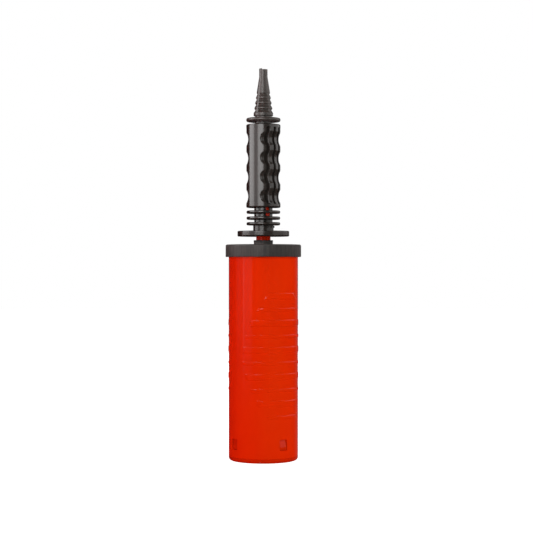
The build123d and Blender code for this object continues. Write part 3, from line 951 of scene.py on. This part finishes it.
def makeNozzle(size):
    corners = [
        (size["bore"], size["spigotBottom"], 0.2), (size["spigot"], size["spigotBottom"], 0.3),
        (size["spigot"], size["grooveHeight"] - size["grooveHalf"], 0),
        (size["grooveRadius"], size["grooveHeight"] - size["grooveHalf"], 0),
        (size["grooveRadius"], size["grooveHeight"] + size["grooveHalf"], 0),
        (size["spigot"], size["grooveHeight"] + size["grooveHalf"], 0),
        (size["spigot"], size["neckBottom"], 0), (size["neck"], size["neckBottom"], 0.2),
        (size["neck"], size["discBottom"], 0.25), (size["disc"], size["discBottom"], size["discRound"]),
        (size["disc"], size["discTop"], size["discRound"]), (size["neck"], size["discTop"], 0.3),
    ]
    for i in range(size["barbs"]):
        lip = size["lipRadius"] - size["lipTaper"] * i
        middle = size["firstLip"] + size["barbPitch"] * i
        low = middle - size["lipThick"] / 2 if i else size["firstLipLow"]
        if i == 0:
            corners.append((size["neck"], low, 0.15))
        corners.append((lip, low, size["lipRound"]))
        corners.append((lip, middle + size["lipThick"] / 2, size["lipRound"]))
        if i < size["barbs"] - 1:
            root = lip - size["undercut"] + size["undercutTaper"] * i
            corners.append((root, middle + size["rootRise"], 0.25))
    corners.append((size["tip"], size["tipLow"], 1.5))
    corners.append((size["tip"], size["tipTop"], size["tipRound"]))
    corners.append((size["bore"], size["tipTop"], 0.3))
    highest = size["firstLip"] + size["barbPitch"] * (size["barbs"] - 1)
    rows = [nozzleRow(size, p, highest) for p in roundCorners(corners)]
    piece = addPiece("nozzleBody", *meshRows(rows))
    wide = 2 * size["tip"]
    tall = size["stepDepth"] + 1
    centre = (size["stepFrom"] + wide / 2, 0, size["tipTop"] + 1 - tall / 2)
    cutAway(piece, [boxCutter((wide, 2 * wide, tall), centre)])
    return piece


nozzleBody = makeNozzle(nozzleSizes)
nozzleBody.data.materials.append(satinBlack)
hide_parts("nozzle")
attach(nozzleBody, "rod")
print("nozzle made:", len(nozzleBody.data.polygons), "faces")

# ---- materials of the imported pieces that are shown as they are

# the red pieces get the darker red copy, which is painted shade for parts that sit in shadow
finishes = {
    "base_plug": shadedRed, "base_valve_stud": shadedRed, "rod": shadedRed, "rod_end_plug": shadedRed,
    "guide_plate": matteBlack, "piston_upper_disc": matteBlack, "piston_lower_disc": matteBlack,
    "base_plug_seal": blackRubber, "base_valve_disc": blackRubber, "cap_gasket": blackRubber,
    "cap_valve_ring": blackRubber, "rod_seal": blackRubber, "rod_o_ring": blackRubber,
    "piston_ring": blackRubber, "nozzle_o_ring": blackRubber, "piston_clip": springSteel,
}
for node, finish in finishes.items():
    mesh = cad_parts[node].data
    mesh.materials.clear()
    mesh.materials.append(finish)

# ---- light, floor and camera


def addSoftbox(name, bearing, width, low, high, radiance, sees, distance=1.0, tint=(1, 1, 1)):
    # an upright rectangle of light that faces the object's axis; sees says whether it lights or is mirrored
    turn = math.radians(bearing)
    light = bpy.data.lights.new(name, "AREA")
    light.shape = "RECTANGLE"
    light.size = width
    light.size_y = high - low
    light.energy = radiance * math.pi * width * (high - low)
    light.color = tint
    lamp = bpy.data.objects.new(name, light)
    bpy.context.scene.collection.objects.link(lamp)
    lamp.location = (distance * math.sin(turn), -distance * math.cos(turn), (low + high) / 2)
    lamp.rotation_euler = (math.pi / 2, 0, turn)
    lamp.visible_camera = False
    lamp.visible_diffuse = sees == "light"
    lamp.visible_glossy = sees == "mirror"


# what the glossy faces mirror: boxes whose lower edges stay above the cap
addSoftbox("leftBox", -85.5, 0.72, 0.20, 1.0, 5.5, "mirror")
addSoftbox("gapCard", -51.0, 0.48, 0.20, 1.0, 1.5, "mirror")
addSoftbox("frontBox", -18.5, 0.67, 0.20, 1.0, 6.0, "mirror")
addSoftbox("rightCard", 87.5, 2.0, 0.20, 1.0, 1.4, "mirror")
# what lights the colours: a soft key from the right front, rose bounce from both sides and a back light
addSoftbox("keyLight", 28.0, 1.4, -0.2, 1.2, 2.6, "light", 1.3)
addSoftbox("roseLeft", -75.0, 0.9, -0.2, 1.0, 3.2, "light", 1.2, (1.0, 0.22, 0.20))
addSoftbox("roseRight", 110.0, 0.9, -0.2, 1.0, 1.4, "light", 1.2, (1.0, 0.22, 0.20))
addSoftbox("backLight", 185.0, 1.2, -0.2, 1.2, 1.3, "light", 1.4)


def grey(value):
    return (value, value, value, 1)


worldSizes = {
    "bandBegins": (-108, -92), "bandEnds": (-35.5, -38.5), "bandFoot": (-0.11, 0.0),
    "bandTop": (0.03, 0.015), "rise": (-76, -60), "riseShare": 0.5, "dimmest": 0.38,
    "stripBearing": -68.5, "stripEdge": (0.06, 0.03), "stripShare": 1.3,
    "glowBack": (0.5, 0.9), "glowRight": (0.1, 0.3), "glowShare": 0.16, "mirrored": 0.012, "diffuse": 0.14,
}


def makeWorld(size):
    # white to the camera, dim to diffuse faces; glossy ones find a low band on the left, fading downwards,
    # with one thin brighter strip in it, and a glow behind on the right
    world = bpy.data.worlds.new("studio")
    world.use_nodes = True
    tree = world.node_tree
    background = tree.nodes["Background"]
    path = tree.nodes.new("ShaderNodeLightPath")
    place = tree.nodes.new("ShaderNodeTexCoord")
    split = tree.nodes.new("ShaderNodeSeparateXYZ")
    tree.links.new(place.outputs["Generated"], split.inputs[0])
    x, y, z = split.outputs
    bearing = calc(tree, "ARCTAN2", x, calc(tree, "MULTIPLY", y, -1.0))
    begins = ramp(tree, bearing, *[math.radians(b) for b in size["bandBegins"]])
    ends = ramp(tree, bearing, *[math.radians(b) for b in size["bandEnds"]])
    rise = ramp(tree, bearing, *[math.radians(b) for b in size["rise"]])
    fromStrip = calc(tree, "SUBTRACT", bearing, math.radians(size["stripBearing"]))
    strip = ramp(tree, calc(tree, "ABSOLUTE", fromStrip), *size["stripEdge"])
    rising = calc(tree, "MULTIPLY_ADD", rise, size["riseShare"], size["dimmest"])
    bright = calc(tree, "MULTIPLY_ADD", strip, size["stripShare"], rising)
    band = calc(tree, "MULTIPLY", calc(tree, "MULTIPLY", begins, ends), bright)
    upright = calc(tree, "MULTIPLY", ramp(tree, z, *size["bandFoot"]), ramp(tree, z, *size["bandTop"]))
    glow = calc(tree, "MULTIPLY", ramp(tree, y, *size["glowBack"]), ramp(tree, x, *size["glowRight"]))
    mirrored = calc(tree, "MULTIPLY_ADD", glow, size["glowShare"], size["mirrored"])
    mirrored = calc(tree, "MULTIPLY_ADD", band, upright, mirrored)
    soft = mixColour(tree, path.outputs["Is Glossy Ray"], grey(size["diffuse"]), mirrored)
    seen = mixColour(tree, path.outputs["Is Camera Ray"], soft, grey(1.0))
    tree.links.new(seen, background.inputs["Color"])
    bpy.context.scene.world = world


def makeFloor(half):
    # a matte floor that looks white to the camera and is left out of mirror images
    material = bpy.data.materials.new("paleFloor")
    material.use_nodes = True
    tree = material.node_tree
    shader = tree.nodes["Principled BSDF"]
    place = tree.nodes.new("ShaderNodeTexCoord").outputs["Object"]
    tone = mixColour(tree, noise(tree, place, 4.0, 4.0), grey(0.93), grey(0.96))
    tree.links.new(tone, shader.inputs["Base Color"])
    shader.inputs["Roughness"].default_value = 0.9
    toCamera = tree.nodes.new("ShaderNodeLightPath").outputs["Is Camera Ray"]
    glow = mixColour(tree, toCamera, grey(0.0), grey(0.97))
    tree.links.new(glow, shader.inputs["Emission Color"])
    shader.inputs["Emission Strength"].default_value = 1.0
    corners = [(-half, -half, 0), (half, -half, 0), (half, half, 0), (-half, half, 0)]
    floor = addPiece("floor", corners, [(0, 1, 2, 3)])
    floor.data.materials.append(material)
    floor.visible_glossy = False


cameraSizes = {"lens": 101.3, "sensor": 36.0, "farthest": 50.0, "place": (0.0024, -1.149, 0.148)}


def makeCamera(size):
    data = bpy.data.cameras.new("camera")
    data.lens = size["lens"]
    data.sensor_width = size["sensor"]
    data.clip_end = size["farthest"]
    camera = bpy.data.objects.new("camera", data)
    camera.location = size["place"]
    camera.rotation_euler = (math.pi / 2, 0, 0)
    bpy.context.scene.collection.objects.link(camera)
    bpy.context.scene.camera = camera


makeWorld(worldSizes)
makeFloor(4000.0)
makeCamera(cameraSizes)
bpy.context.scene.view_settings.view_transform = "Standard"
print("light, floor and camera made")
